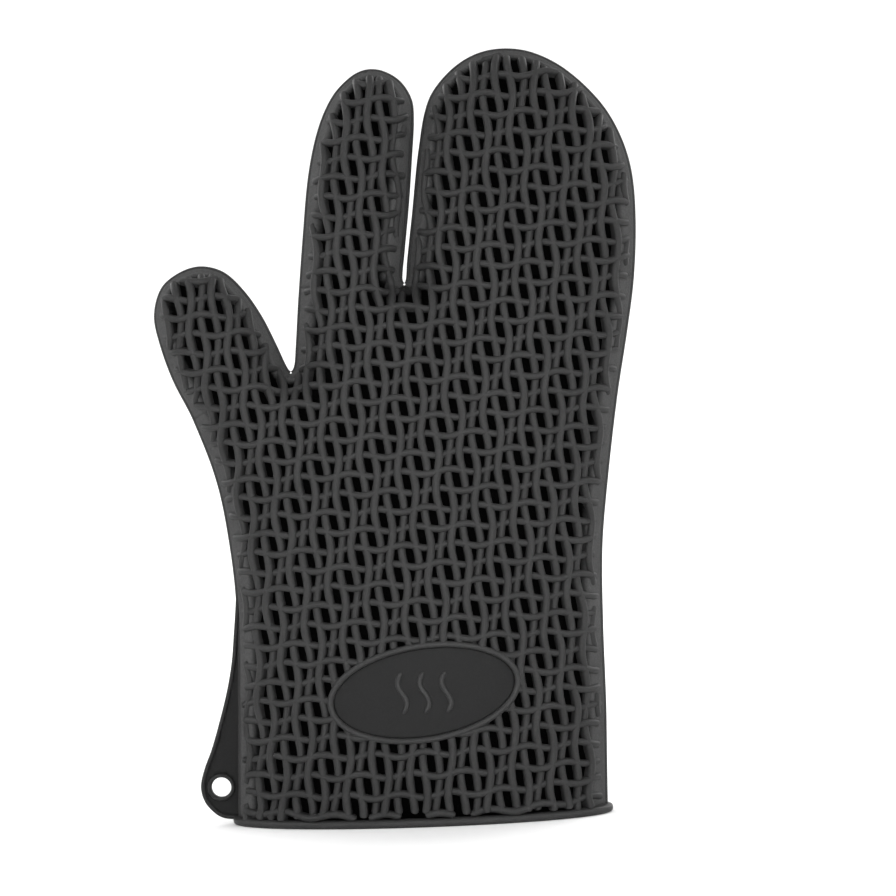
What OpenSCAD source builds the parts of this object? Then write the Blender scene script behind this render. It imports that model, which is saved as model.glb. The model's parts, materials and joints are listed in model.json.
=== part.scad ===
// Moulded silicone oven mitt: a gauntlet with a thumb, an index finger and a broad mitten pocket.
// It stands on its cuff with the fingertips up. X runs across the mitt, towards the mitten pocket,
// -Y is the face with the badge, and Z is up. Millimetres. The origin is at the middle of the
// bounding box, on the plane that the cuff rests on.

/* [Wall] */
// Thickness of the closed silicone skin under the relief
skin_t = 2; // [1.5:0.1:2.5]
// Thickness of the woven relief that stands on the skin
relief_t = 1.5; // [1:0.1:2]
// How far the parting-line flange stands out of the silhouette
flange_w = 0.9; // [0.6:0.1:1.1]
// Thickness of the parting-line flange, front to back
flange_t = 1.4; // [1:0.1:2]

/* [Gauntlet and palm] */
// Half depth of the gauntlet at the cuff
cuff_depth = 25; // [22:0.5:26]
// Half depth of the palm where the fingers begin
knuckle_depth = 20; // [18:0.5:22]
// Height of the rounded bead around the cuff
bead_h = 5; // [4:0.5:6]
// Width of the rounded bead around the cuff
bead_w = 5.6; // [5:0.2:6]

/* [Thumb] */
// Lean of the thumb away from vertical
thumb_angle = 24; // [20:1:28]
// Length of the thumb from its root line to its tip
thumb_len = 52; // [46:1:58]
// Radius of the rounded thumb tip
thumb_tip_r = 17.8; // [16:0.1:19]
// Half depth of the thumb
thumb_depth = 14.5; // [13:0.5:16]

/* [Index finger] */
// Height of the top of the index finger
index_top = 278.5; // [270:0.5:282]
// Radius of the rounded index fingertip
index_tip_r = 18; // [17:0.1:18.5]
// Half depth of the index finger
index_depth = 15; // [13:0.5:16]

/* [Mitten pocket] */
// Height of the top of the mitten pocket
mitten_top = 284.5; // [276:0.1:290]
// Half depth of the mitten pocket
mitten_depth = 19; // [16:0.5:19.5]

/* [Badge] */
// Length of the oval badge
badge_l = 70.2; // [60:0.2:76]
// Height of the oval badge
badge_h = 35.2; // [32:0.2:42]
// Turn of the badge's long axis, up at the mitten pocket's side
badge_turn = 7; // [0:0.5:12]
// Width of the raised bezel around the badge
bezel_w = 2.2; // [1.6:0.1:3]

/* [Hang tab] */
// Radius of the hole in the hang tab
eyelet_r = 3.6; // [3:0.1:4.2]
// Width of the ring around the hole
eyelet_w = 1.6; // [1.2:0.1:2]
// Thickness of the ring around the hole, front to back
eyelet_t = 3.4; // [3:0.1:4]
// Thickness of the tab's web
web_t = 1.6; // [1.2:0.1:2]

/* [Hidden] */
$fn = 48;

// The drawing of the mitt is centred on its cuff; this moves it onto the middle of its box.
box_shift = 3.65;

// Silhouette, as [x, z] in the drawing. The left edge runs from the cuff up to the thumb's root.
left_edge = [
    [-68.5, bead_h], [-67, 30], [-67, 55], [-66.8, 80], [-68.5, 103], [-72.5, 127], [-76.5, 140]
];
thumb_out = [-80.5, 150.5]; // outer end of the thumb's root line
crotch = [-43.5, 167]; // inner end of that line, where the thumb leaves the hand
// The right edge rises beside the left edge's points, beside the root line, then to the fingers.
right_edge = [
    [69, bead_h], [69.3, 30], [69.3, 55], [69.5, 80], [70.3, 103], [73.3, 127], [75.4, 140]
];
right_by_root = [[76.8, 150.5], [79.8, 167]];
// Left and right edges between the crotch and the roots of the fingers.
knuckle_left = [[-41.6, 176], [-40.6, 187], [-39.8, 198]];
knuckle_right = [[81.8, 176], [83.8, 187], [85.2, 198]];
slit_x = -0.3; // middle of the narrow slit between the index finger and the pocket, at its foot
slit_half = 0.6; // half the width of that slit
root_z = 198; // foot of the slit
flex_len = 30; // length of the soft zone that bends at the foot of a finger
thumb_flex_len = 20; // length of the soft zone that bends at the foot of the thumb
root_steps = 4; // rows of the palm along the thumb's root line

// Depth of the palm, by height.
function palm_depth(z) = lookup(z, [
    [bead_h, cuff_depth], [80, cuff_depth - 0.7], [140, knuckle_depth + 2.4], [root_z, knuckle_depth]
]);

palm_cols = 30; // strips across the palm
digit_cols = 18; // strips across a digit
weave_margin = 3; // strips at each side that the relief leaves bare on the palm
digit_margin = 2; // the same on a digit
tip_turns = [18, 36, 52, 66, 78]; // how far round a fingertip each row lies, in degrees
bare_tip_rows = 2; // rows at a fingertip that the relief leaves bare

// ---- Grids and solids ----

function smooth(t) = let (u = min(max(t, 0), 1)) u * u * (3 - 2 * u);
function mix(a, b, t) = a + (b - a) * t;
function flat(rows) = [for (row = rows) each row];
function part_of(rows, first, last) = [for (row = rows) [for (j = [first:last]) row[j]]];
function quad(a, b, c, d) = [[a, b, c], [a, c, d]];

// The two faces of a curved wall, as rows of points, and the strips that join them.
function wall_faces(n, m, closed_top) = let (
    o = function(i, j) i * m + j,
    k = function(i, j) n * m + i * m + j
) concat(
    flat([for (i = [0:n - 2], j = [0:m - 2]) quad(o(i, j), o(i + 1, j), o(i + 1, j + 1), o(i, j + 1))]),
    flat([for (i = [0:n - 2], j = [0:m - 2]) quad(k(i, j), k(i, j + 1), k(i + 1, j + 1), k(i + 1, j))]),
    flat([for (i = [0:n - 2]) quad(o(i + 1, 0), o(i, 0), k(i, 0), k(i + 1, 0))]),
    flat([for (i = [0:n - 2]) quad(o(i, m - 1), o(i + 1, m - 1), k(i + 1, m - 1), k(i, m - 1))]),
    flat([for (j = [0:m - 2]) quad(o(0, j), o(0, j + 1), k(0, j + 1), k(0, j))]),
    closed_top
        ? concat(
            [[for (j = [m - 1:-1:0]) o(n - 1, j)], [for (j = [0:m - 1]) k(n - 1, j)]],
            quad(o(n - 1, m - 1), o(n - 1, 0), k(n - 1, 0), k(n - 1, m - 1))
        )
        : flat([for (j = [0:m - 2]) quad(o(n - 1, j + 1), o(n - 1, j), k(n - 1, j), k(n - 1, j + 1))])
);

module wall(outer, inner, closed_top = false) {
    polyhedron(
        points = concat(flat(outer), flat(inner)),
        faces = wall_faces(len(outer), len(outer[0]), closed_top),
        convexity = 8
    );
}

// A tube with open ends, from rings of points on its outer and inner faces.
module tube(outer, inner) {
    n = len(outer);
    m = len(outer[0]);
    o = function(i, j) i * m + j % m;
    k = function(i, j) n * m + i * m + j % m;
    polyhedron(
        points = concat(flat(outer), flat(inner)),
        faces = concat(
            flat([for (i = [0:n - 2], j = [0:m - 1]) quad(o(i, j), o(i + 1, j), o(i + 1, j + 1), o(i, j + 1))]),
            flat([for (i = [0:n - 2], j = [0:m - 1]) quad(k(i, j), k(i, j + 1), k(i + 1, j + 1), k(i + 1, j))]),
            flat([for (j = [0:m - 1]) quad(o(0, j), o(0, j + 1), k(0, j + 1), k(0, j))]),
            flat([for (j = [0:m - 1]) quad(o(n - 1, j + 1), o(n - 1, j), k(n - 1, j), k(n - 1, j + 1))])
        ),
        convexity = 8
    );
}

module back_of_mitt() mirror([0, 1, 0]) children();
module on_box_centre() translate([box_shift, 0, 0]) children();
module upright_plate(t) translate([0, t / 2, 0]) rotate([90, 0, 0]) linear_extrude(t) children();

// ---- Palm ----

// Rows of the palm: left point, right point, and how far along the thumb's root the row starts.
// A row that starts on the silhouette has -1 there.
palm_rows = concat(
    [for (i = [0:len(left_edge) - 1]) [left_edge[i], right_edge[i], -1]],
    [for (i = [0:root_steps])
        let (f = i / root_steps)
        [mix(thumb_out, crotch, f), mix(right_by_root[0], right_by_root[1], f), f]],
    [for (i = [0:len(knuckle_left) - 1]) [knuckle_left[i], knuckle_right[i], -1]]
);
root_half = norm(crotch - thumb_out) / 2;
root_reach = 30; // how far in from the thumb's root its roundness shows on the palm
pinch_most = 0.86; // how nearly the palm takes the fingers' two ovals where they begin
pinch_len = 22; // height over which it does so

function ellipse_y(x, middle, half, depth) =
    depth * sqrt(max(0, 1 - pow((x - middle) / half, 2)));

// Depth of a row at x: one wide ellipse, drawn up beside the thumb's root and pinched at the slit.
function palm_y(row, x, side, deep) = let (
    x0 = row[0][0] + side,
    x1 = row[1][0] - side,
    z = row[1][1],
    one = ellipse_y(x, (x0 + x1) / 2, (x1 - x0) / 2, palm_depth(z) - deep),
    root = row[2] < 0 ? 0 : ellipse_y(row[2] * 2 - 1, 0, 1 - side / root_half, thumb_depth - deep),
    near_root = root * (1 - smooth((x - row[0][0]) / root_reach)),
    body = norm([one, near_root]),
    pinch = pinch_most * smooth((z - root_z) / pinch_len + 1),
    index = ellipse_y(x, (x0 + slit_x) / 2, (slit_x - x0) / 2, index_depth - deep),
    pocket = ellipse_y(x, (slit_x + x1) / 2, (x1 - slit_x) / 2, mitten_depth - deep)
) mix(body, x < slit_x ? index : pocket, pinch);

// Where a row starts: on the silhouette, on the root line, or just under the crotch.
function row_start(row, side) = let (f = row[2], inset = side / root_half / 2)
    f < 0 ? row[0] + [side, 0]
    : f == 1 && side > flange_w ? row[0] - [0, side]
    : side > flange_w ? mix(thumb_out, crotch, min(max(f, inset), 1 - inset))
    : row[0] + (f == 0 ? [side, 0] : [0, 0]);

function palm_grid(side, deep) = [for (row = palm_rows)
    let (a = row_start(row, side), b = row[1] - [side, 0])
    [for (j = [0:palm_cols])
        let (
            t = (1 - cos(180 * j / palm_cols)) / 2,
            p = mix(a, b, t),
            at_edge = j == palm_cols || (j == 0 && (row[2] <= 0 || row[2] == 1))
        )
        [p[0], at_edge ? 0 : -palm_y(row, p[0], side, deep), p[1]]]];

palm_outside = palm_grid(flange_w, 0);
palm_skin_outside = palm_grid(flange_w, relief_t);
palm_inside = palm_grid(flange_w + skin_t, relief_t + skin_t);

badge_at = [2.2, 48.5];
badge_gap = 0.2; // clearance between the badge and the relief around it

function oval(at, l, h, steps = 48) = [for (i = [0:steps - 1])
    at + [l / 2 * cos(360 * i / steps), h / 2 * sin(360 * i / steps)]];

// A place on the badge, u along its long axis and v across it, as [x, z] in the drawing.
function on_badge(u, v) = badge_at + [
    u * cos(badge_turn) - v * sin(badge_turn),
    u * sin(badge_turn) + v * cos(badge_turn)
];

module palm_skin() wall(palm_skin_outside, palm_inside);

module palm_weave() wall(
    part_of(palm_outside, weave_margin, palm_cols - weave_margin),
    part_of(palm_skin_outside, weave_margin, palm_cols - weave_margin)
);

module palm_front_skin() color("#3b3b3b") on_box_centre() palm_skin();
module palm_back_skin() color("#3b3b3b") on_box_centre() back_of_mitt() palm_skin();

module palm_front_weave() color("#4a4a4a") on_box_centre() difference() {
    palm_weave();
    upright_plate(4 * cuff_depth) translate(badge_at) rotate(badge_turn)
        polygon(oval([0, 0], badge_l + 2 * badge_gap, badge_h + 2 * badge_gap));
}

module palm_back_weave() color("#4a4a4a") on_box_centre() back_of_mitt() palm_weave();

// A flange along a run of silhouette points, reaching inwards to the skin's edge.
module edge_flange(points, inwards, first = 0) upright_plate(flange_t)
    polygon(concat(points, [for (i = [len(points) - 1:-1:first]) points[i] + inwards * flange_w]));

module palm_seam() color("#555555") on_box_centre() {
    edge_flange(concat(left_edge, [thumb_out]), [1, 0]);
    edge_flange(concat(right_edge, right_by_root, knuckle_right), [-1, 0]);
    edge_flange(concat([crotch], knuckle_left), [1, 0], first = 1);
}

// ---- Cuff ----

module oval_ring(half_x, half_y, w) difference() {
    polygon(oval([0, 0], 2 * half_x + w, 2 * half_y + w));
    polygon(oval([0, 0], 2 * half_x - w, 2 * half_y - w));
}

cuff_half = 70.6; // half the width of the cuff, over its bead
bead_layers = 5;
bead_out = 0.6; // how far the bead's middle lies outside the skin's middle, front and back
bead_round = 0.62; // how much of a full round the bead's section has

// The bead is a rounded ring, cut into level layers that follow its round section.
module cuff_bead() color("#505050") on_box_centre() {
    half_x = cuff_half - bead_w / 2;
    half_y = cuff_depth - relief_t - skin_t / 2 + bead_out;
    layer_h = bead_h / bead_layers;
    for (i = [0:bead_layers - 1]) {
        level = (i + 0.5) / bead_layers * 2 - 1;
        translate([0, 0, i * layer_h])
            linear_extrude(layer_h) oval_ring(half_x, half_y, bead_w * sqrt(1 - bead_round * level * level));
    }
}

// ---- Badge ----

// Depth of the gauntlet's face at a point of the badge.
function gauntlet_y(x, z) = let (
    x0 = lookup(z, [for (p = left_edge) [p[1], p[0]]]) + flange_w,
    x1 = lookup(z, [for (p = right_edge) [p[1], p[0]]]) - flange_w
) ellipse_y(x, (x0 + x1) / 2, (x1 - x0) / 2, palm_depth(z));

// A point of the badge, on an oval drawn in from its edge and lifted off the gauntlet's face.
function badge_point(drawn_in, angle, lift) = let (
    p = on_badge((badge_l / 2 - drawn_in) * cos(angle), (badge_h / 2 - drawn_in) * sin(angle))
) [p[0], -gauntlet_y(p[0], p[1]) - lift, p[1]];

badge_steps = 48;
badge_foot = 0.4 - relief_t; // underside of the badge, just clear of the skin
plate_lift = 0.2;
bezel_lift = 0.9;

function badge_ring(drawn_in, lift) =
    [for (i = [0:badge_steps - 1]) badge_point(drawn_in, -360 * i / badge_steps, lift)];

// The bezel is a ring with a bevelled top.
module badge_bezel() color("#5a5a5a") on_box_centre() {
    bevel_lift = bezel_lift * 0.4;
    bevel_w = bezel_w * 0.3;
    tube(
        [badge_ring(0, badge_foot), badge_ring(0, bevel_lift), badge_ring(bevel_w, bezel_lift)],
        [badge_ring(bezel_w, badge_foot), badge_ring(bezel_w, bevel_lift), badge_ring(bezel_w - bevel_w, bezel_lift)]
    );
}

// The plate fills the bezel, with a small gap, and its face is one shallow curved sheet.
plate_rows = 16;
plate_cols = 14;
plate_gap = 0.1;
plate_end = 6; // angle at which the plate's first and last rows are cut across, in degrees

function plate_grid(lift) = let (
    half_l = badge_l / 2 - bezel_w - plate_gap,
    half_h = badge_h / 2 - bezel_w - plate_gap
)
    [for (i = [0:plate_rows])
        let (a = mix(plate_end, 180 - plate_end, i / plate_rows))
        [for (j = [0:plate_cols])
            let (p = on_badge(half_l * sin(a) * (2 * j / plate_cols - 1), -half_h * cos(a)))
            [p[0], -gauntlet_y(p[0], p[1]) - lift, p[1]]]];

module badge_plate() color("#444444") on_box_centre() wall(plate_grid(plate_lift), plate_grid(badge_foot));

// Three rising wavy lines, as a plain sign for heat.
module badge_emblem() color("#5a5a5a") on_box_centre() {
    line_h = 15;
    line_w = 1.8;
    line_gap = 8;
    wave = 1.6;
    ridge = 0.6; // height of a line's middle over the plate
    shoulder = 0.3; // height of its sides
    steps = 12;
    for (side = [-1:1]) {
        strip = function(lift) [for (i = [0:steps]) [for (j = [0:2])
            let (
                z = badge_at[1] + line_h * (i / steps - 0.5),
                x = badge_at[0] + line_gap * side + wave * sin(360 * i / steps) + line_w * (j / 2 - 0.5)
            )
            [x, -gauntlet_y(x, z) - plate_lift - (j == 1 ? lift : min(lift, shoulder)), z]]];
        wall(strip(ridge), strip(0.05));
    }
}

// ---- Digits ----

tip_fullness = 0.8; // 1 for a tip as round front to back as side to side, less for a fuller one
least_share = 0.4; // a row is never drawn in to less than this share of its size

// Rows of a digit, as [middle x, height, half width, half depth], with a rounded tip.
// The body's rows are given, and the tip turns over from the last of them.
function with_tip(rows, rise, lean) = let (last = rows[len(rows) - 1])
    concat(rows, [for (a = tip_turns)
        [last[0] + lean * sin(a), last[1] + rise * sin(a), last[2] * cos(a), last[3] * pow(cos(a), tip_fullness)]]);

function digit_grid(rows, side, deep) = let (tip = rows[len(rows) - 1], top = tip[1]) [for (row = rows)
    let (half = max(row[2] - side, row[2] * least_share), depth = max(row[3] - deep, row[3] * least_share))
    [for (j = [0:digit_cols])
        let (a = 180 * j / digit_cols)
        [
            row[0] - half * cos(a),
            j == 0 || j == digit_cols ? 0 : -depth * sin(a),
            row[1] - (row[1] > rows[0][1] ? side * smooth((row[1] - rows[0][1]) / (top - rows[0][1])) : 0)
        ]]];

module digit_skin(rows) wall(
    digit_grid(rows, flange_w, relief_t),
    digit_grid(rows, flange_w + skin_t, relief_t + skin_t),
    closed_top = true
);

function all_but_last(rows, n) = [for (i = [0:len(rows) - 1 - n]) rows[i]];

module digit_weave(rows) {
    outside = digit_grid(rows, flange_w, 0);
    skin = digit_grid(rows, flange_w, relief_t);
    wall(
        part_of(all_but_last(outside, bare_tip_rows), digit_margin, digit_cols - digit_margin),
        part_of(all_but_last(skin, bare_tip_rows), digit_margin, digit_cols - digit_margin)
    );
}

// The edge of a digit, from its foot on the left, over the tip and down to its foot on the right.
function digit_edge(rows, side) = let (grid = digit_grid(rows, side, 0), n = len(rows) - 1) concat(
    [for (i = [0:n]) [grid[i][0][0], grid[i][0][2]]],
    [for (i = [n:-1:0]) [grid[i][digit_cols][0], grid[i][digit_cols][2]]]
);

module digit_seam(rows) upright_plate(flange_t) difference() {
    polygon(digit_edge(rows, 0));
    polygon(concat(
        [[rows[0][0] - rows[0][2] + flange_w, rows[0][1] - 1]],
        digit_edge(rows, flange_w),
        [[rows[0][0] + rows[0][2] - flange_w, rows[0][1] - 1]]
    ));
}

// A soft tube between two rows, at the full thickness of skin and relief.
module flex_tube(rows) {
    ring = function(row, side, deep) [for (j = [0:2 * digit_cols - 1])
        let (a = 180 * j / digit_cols)
        [row[0] - (row[2] - side) * cos(a), -(row[3] - deep) * sin(a), row[1]]];
    wall_t = relief_t + skin_t;
    tube(
        [for (row = rows) ring(row, flange_w, 0)],
        [for (row = rows) ring(row, flange_w + wall_t, wall_t)]
    );
}

// The thumb is drawn upright on its root line and leans out with it.
module at_thumb() {
    middle = (thumb_out + crotch) / 2;
    translate([middle[0], 0, middle[1]]) rotate([0, -thumb_angle, 0]) children();
}

flex_start = 0.3; // gap between the foot of a soft zone and the palm
thumb_knee = thumb_len - thumb_tip_r;
thumb_foot = [0, flex_start, root_half, thumb_depth];
thumb_rows = with_tip([
    [0, thumb_flex_len, root_half - 0.3, thumb_depth - 0.3],
    [0, mix(thumb_flex_len, thumb_knee, 0.6), mix(root_half, thumb_tip_r, 0.6), thumb_depth - 0.6],
    [-0.4, thumb_knee, thumb_tip_r, thumb_depth - 1]
], thumb_tip_r, 0);

index_foot = [(knuckle_left[2][0] + slit_x - slit_half) / 2, root_z + flex_start,
    (slit_x - slit_half - knuckle_left[2][0]) / 2, index_depth];
index_knee = index_top - index_tip_r;
index_rows = with_tip([
    [-17, root_z + flex_len, 19.1, index_depth],
    [-15.7, 240, 19, index_depth - 0.3],
    [-13.4, 252, 18.4, index_depth - 0.7],
    [-12, index_knee, index_tip_r - 0.3, index_depth - 1]
], index_tip_r, 0.2);

mitten_foot = [(slit_x + slit_half + knuckle_right[2][0]) / 2, root_z + flex_start,
    (knuckle_right[2][0] - slit_x - slit_half) / 2, mitten_depth];
mitten_knee = 238; // height where the pocket starts to round over
mitten_rows = with_tip([
    [45.3, root_z + flex_len, 41.3, mitten_depth],
    [45.6, mitten_knee, 40.2, mitten_depth - 0.6]
], mitten_top - mitten_knee, -5.8);

module thumb_front_skin() color("#3b3b3b") on_box_centre() at_thumb() digit_skin(thumb_rows);
module thumb_back_skin() color("#3b3b3b") on_box_centre() back_of_mitt() at_thumb() digit_skin(thumb_rows);
module thumb_front_weave() color("#4a4a4a") on_box_centre() at_thumb() digit_weave(thumb_rows);
module thumb_back_weave() color("#4a4a4a") on_box_centre() back_of_mitt() at_thumb() digit_weave(thumb_rows);
module thumb_seam() color("#555555") on_box_centre() at_thumb() digit_seam(thumb_rows);
module thumb_flex_sleeve() color("#424242") on_box_centre() at_thumb()
    flex_tube([thumb_foot, thumb_rows[0]]);

module index_front_skin() color("#3b3b3b") on_box_centre() digit_skin(index_rows);
module index_back_skin() color("#3b3b3b") on_box_centre() back_of_mitt() digit_skin(index_rows);
module index_front_weave() color("#4a4a4a") on_box_centre() digit_weave(index_rows);
module index_back_weave() color("#4a4a4a") on_box_centre() back_of_mitt() digit_weave(index_rows);
module index_seam() color("#555555") on_box_centre() digit_seam(index_rows);
module index_flex_sleeve() color("#424242") on_box_centre() flex_tube([index_foot, index_rows[0]]);

module mitten_front_skin() color("#3b3b3b") on_box_centre() digit_skin(mitten_rows);
module mitten_back_skin() color("#3b3b3b") on_box_centre() back_of_mitt() digit_skin(mitten_rows);
module mitten_front_weave() color("#4a4a4a") on_box_centre() digit_weave(mitten_rows);
module mitten_back_weave() color("#4a4a4a") on_box_centre() back_of_mitt() digit_weave(mitten_rows);
module mitten_seam() color("#555555") on_box_centre() digit_seam(mitten_rows);
module mitten_flex_sleeve() color("#424242") on_box_centre() flex_tube([mitten_foot, mitten_rows[0]]);

// ---- Hang tab ----

hinge_x = -70; // line about which the tab bends, beside the gauntlet's seam
eyelet_at = [-74.6, 13.8];
tab_edge = [
    [hinge_x, 76], [-70.6, 62], [-72, 50], [-74.6, 38], [-77.6, 28],
    [-80.4, 21], [-82.2, 15], [-81.9, 9.5], [-78.8, 5.4], [-76.4, 4.2], [-74.6, 5.6], [hinge_x, 5.8]
];
border_w = 2.2;
border_t = 3;
eyelet_gap = 0.05; // clearance between the ring and the tab around it

module tab_outline() polygon(tab_edge);

// The border runs round the tab's free edge, and stops short of the edge that meets the gauntlet.
module tab_ring() difference() {
    tab_outline();
    offset(delta = -border_w) union() {
        tab_outline();
        translate([hinge_x, 0]) square([2 * border_w, 80]);
    }
}

module tab_web() color("#454545") on_box_centre() difference() {
    upright_plate(web_t) difference() {
        tab_outline();
        tab_ring();
    }
    eyelet_bore(eyelet_r + eyelet_w + eyelet_gap);
}

module tab_border() color("#505050") on_box_centre() difference() {
    upright_plate(border_t) tab_ring();
    eyelet_bore(eyelet_r + eyelet_w + eyelet_gap);
}

module eyelet_bore(r) translate([eyelet_at[0], 0, eyelet_at[1]]) rotate([90, 0, 0])
    cylinder(r = r, h = 4 * eyelet_t, center = true);

module tab_eyelet() color("#585858") on_box_centre() difference() {
    translate([eyelet_at[0], 0, eyelet_at[1]]) rotate([90, 0, 0])
        cylinder(r = eyelet_r + eyelet_w, h = eyelet_t, center = true);
    eyelet_bore(eyelet_r);
}

palm_front_skin();
palm_back_skin();
palm_front_weave();
palm_back_weave();
palm_seam();
cuff_bead();
badge_bezel();
badge_plate();
badge_emblem();
thumb_front_skin();
thumb_back_skin();
thumb_front_weave();
thumb_back_weave();
thumb_seam();
thumb_flex_sleeve();
index_front_skin();
index_back_skin();
index_front_weave();
index_back_weave();
index_seam();
index_flex_sleeve();
mitten_front_skin();
mitten_back_skin();
mitten_front_weave();
mitten_back_weave();
mitten_seam();
mitten_flex_sleeve();
tab_web();
tab_border();
tab_eyelet();
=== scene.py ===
import json
import math

import bmesh
import bpy
import numpy as np
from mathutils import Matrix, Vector
from mathutils.geometry import delaunay_2d_cdt
from mathutils.kdtree import KDTree


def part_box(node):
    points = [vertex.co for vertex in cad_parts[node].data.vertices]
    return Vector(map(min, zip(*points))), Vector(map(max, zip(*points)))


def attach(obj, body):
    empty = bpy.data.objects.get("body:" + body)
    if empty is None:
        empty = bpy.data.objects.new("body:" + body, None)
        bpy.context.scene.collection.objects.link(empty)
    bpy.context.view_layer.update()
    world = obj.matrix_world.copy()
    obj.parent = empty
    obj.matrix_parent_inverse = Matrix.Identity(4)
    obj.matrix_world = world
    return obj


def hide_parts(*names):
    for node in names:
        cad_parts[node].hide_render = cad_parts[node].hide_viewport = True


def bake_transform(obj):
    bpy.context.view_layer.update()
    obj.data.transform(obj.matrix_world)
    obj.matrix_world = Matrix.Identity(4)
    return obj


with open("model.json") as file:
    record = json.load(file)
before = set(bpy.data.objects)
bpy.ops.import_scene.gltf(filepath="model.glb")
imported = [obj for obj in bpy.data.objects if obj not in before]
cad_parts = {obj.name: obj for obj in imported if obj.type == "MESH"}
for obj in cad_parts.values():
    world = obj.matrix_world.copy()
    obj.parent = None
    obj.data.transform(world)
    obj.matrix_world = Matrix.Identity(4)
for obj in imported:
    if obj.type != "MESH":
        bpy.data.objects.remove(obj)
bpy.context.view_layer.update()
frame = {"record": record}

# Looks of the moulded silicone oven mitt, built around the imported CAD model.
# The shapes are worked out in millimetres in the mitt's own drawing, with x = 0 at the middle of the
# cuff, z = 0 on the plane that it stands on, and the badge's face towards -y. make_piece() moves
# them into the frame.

scene = bpy.context.scene
MM = 0.001

cuff_low, cuff_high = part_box("cuff_bead")
CENTRE_X = (cuff_low.x + cuff_high.x) / 2 / MM  # the drawing's x = 0, in the frame
CUFF_TOP = cuff_high.z / MM
ROOT_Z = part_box("palm_front_skin")[1].z / MM  # where the index finger and the pocket begin

# The camera looks straight at this place in the drawing, from this far in front of it.
CAMERA_OVER = np.array([13.9, 136.8])
CAMERA_BACK = 900


# ---- Silhouette ----

# Runs of the silhouette, clockwise from the left of the cuff, each from the end of the run before.
CUFF_LEFT = (-68.8, 0)
OUTLINE = {
    "gauntlet_left": [
        (-68.2, 20), (-67.4, 45), (-66.8, 80), (-68.5, 103), (-72.5, 127), (-80.5, 150.5)],
    "thumb_outer": [
        (-87.5, 165.5), (-92, 179.5), (-93.6, 190), (-90.5, 200), (-83.5, 205.5)],
    "thumb_inner": [
        (-75.5, 207.5), (-67, 205), (-59.5, 197.5), (-53.4, 188), (-48.5, 177.5), (-45, 169.3),
        (-43.5, 167.3)],
    "knuckle": [(-42.2, 169.3), (-41.5, 175), (-40, 192), (-39.4, 198)],
    "index_outer": [
        (-37.5, 216), (-34.5, 240), (-30.3, 257), (-24.6, 268.8), (-17.7, 275.8), (-11.8, 278.4)],
    "index_inner": [
        (-5.6, 277.8), (0.9, 273.7), (5, 266.7), (5.5, 259), (4.5, 247), (2.6, 228), (0.2, 209),
        (-0.8, 200.5), (-0.2, 198.6)],
    "mitten_inner": [
        (0.5, 200.5), (1, 206), (3.5, 224), (6.8, 248), (11, 266), (18.5, 276), (28, 282.3),
        (38.5, 284.5)],
    "mitten_outer": [
        (50, 282.8), (62.2, 276.2), (74.5, 264), (81.5, 252), (85.6, 238), (86.6, 220), (85.2, 198)],
    "gauntlet_right": [
        (82, 178), (77.5, 154), (73, 124), (70, 98), (69.3, 70), (69.4, 40), (69, 20), (68.6, 0)],
}
FLANGE = 0.9  # how far the parting-line flange stands out of the body
OUTLINE_STEP = 0.1


def smooth_line(points, step):
    """The stretches of a smooth curve through the points, each without its last point."""
    p = np.array(points, float)
    length = np.linalg.norm(np.diff(p, axis=0), axis=1)
    slope = np.empty_like(p)
    slope[1:-1] = (p[2:] - p[:-2]) / (length[1:] + length[:-1])[:, None]
    slope[0] = (p[1] - p[0]) / length[0]
    slope[-1] = (p[-1] - p[-2]) / length[-1]
    stretches = []
    for a, b, slope_a, slope_b, reach in zip(p[:-1], p[1:], slope[:-1], slope[1:], length):
        t = np.linspace(0, 1, max(2, int(reach / step)), endpoint=False)[:, None]
        stretches.append(
            a * (2 * t**3 - 3 * t**2 + 1)
            + b * (3 * t**2 - 2 * t**3)
            + reach * (slope_a * (t**3 - 2 * t**2 + t) + slope_b * (t**3 - t**2))
        )
    return stretches


def outline_runs():
    """The silhouette and the body's own edge inside the flange: run name to points, for each."""
    points, ends = [CUFF_LEFT], {}
    for name, run in OUTLINE.items():
        points += run
        ends[name] = len(points) - 1
    stretches = smooth_line(points, OUTLINE_STEP)
    rim = np.vstack(stretches + [[points[-1]]])
    ahead = np.gradient(rim, axis=0)
    inwards = np.stack([ahead[:, 1], -ahead[:, 0]], axis=1)
    inwards /= np.linalg.norm(inwards, axis=1)[:, None]
    body = rim + FLANGE * inwards
    starts = np.cumsum([0] + [len(s) for s in stretches])
    rims, bodies, first = {}, {}, 0
    for name, last in ends.items():
        part = slice(starts[first], starts[last] + 1)
        rims[name], bodies[name], first = rim[part], body[part], last
    return rims, bodies


def along(run, fractions):
    """Points on a run at fractions of its length."""
    travelled = np.concatenate([[0], np.cumsum(np.linalg.norm(np.diff(run, axis=0), axis=1))])
    at = np.asarray(fractions) * travelled[-1]
    return np.stack([np.interp(at, travelled, run[:, k]) for k in (0, 1)], axis=-1)


def smooth(t):
    """A smooth step from 0 to 1."""
    t = np.clip(t, 0, 1)
    return t * t * (3 - 2 * t)


def unit(v):
    return v / np.linalg.norm(v, axis=-1, keepdims=True)


RIM, BODY = outline_runs()
BODY_EDGE = np.vstack(list(BODY.values()))
EDGE_OUTWARDS = (np.vstack(list(RIM.values())) - BODY_EDGE) / FLANGE
CROTCH = BODY["thumb_inner"][-1]
THUMB_OUT = BODY["gauntlet_left"][-1]
SLIT_FOOT = BODY["index_inner"][-1]


# ---- Thickness, front to back ----

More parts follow.
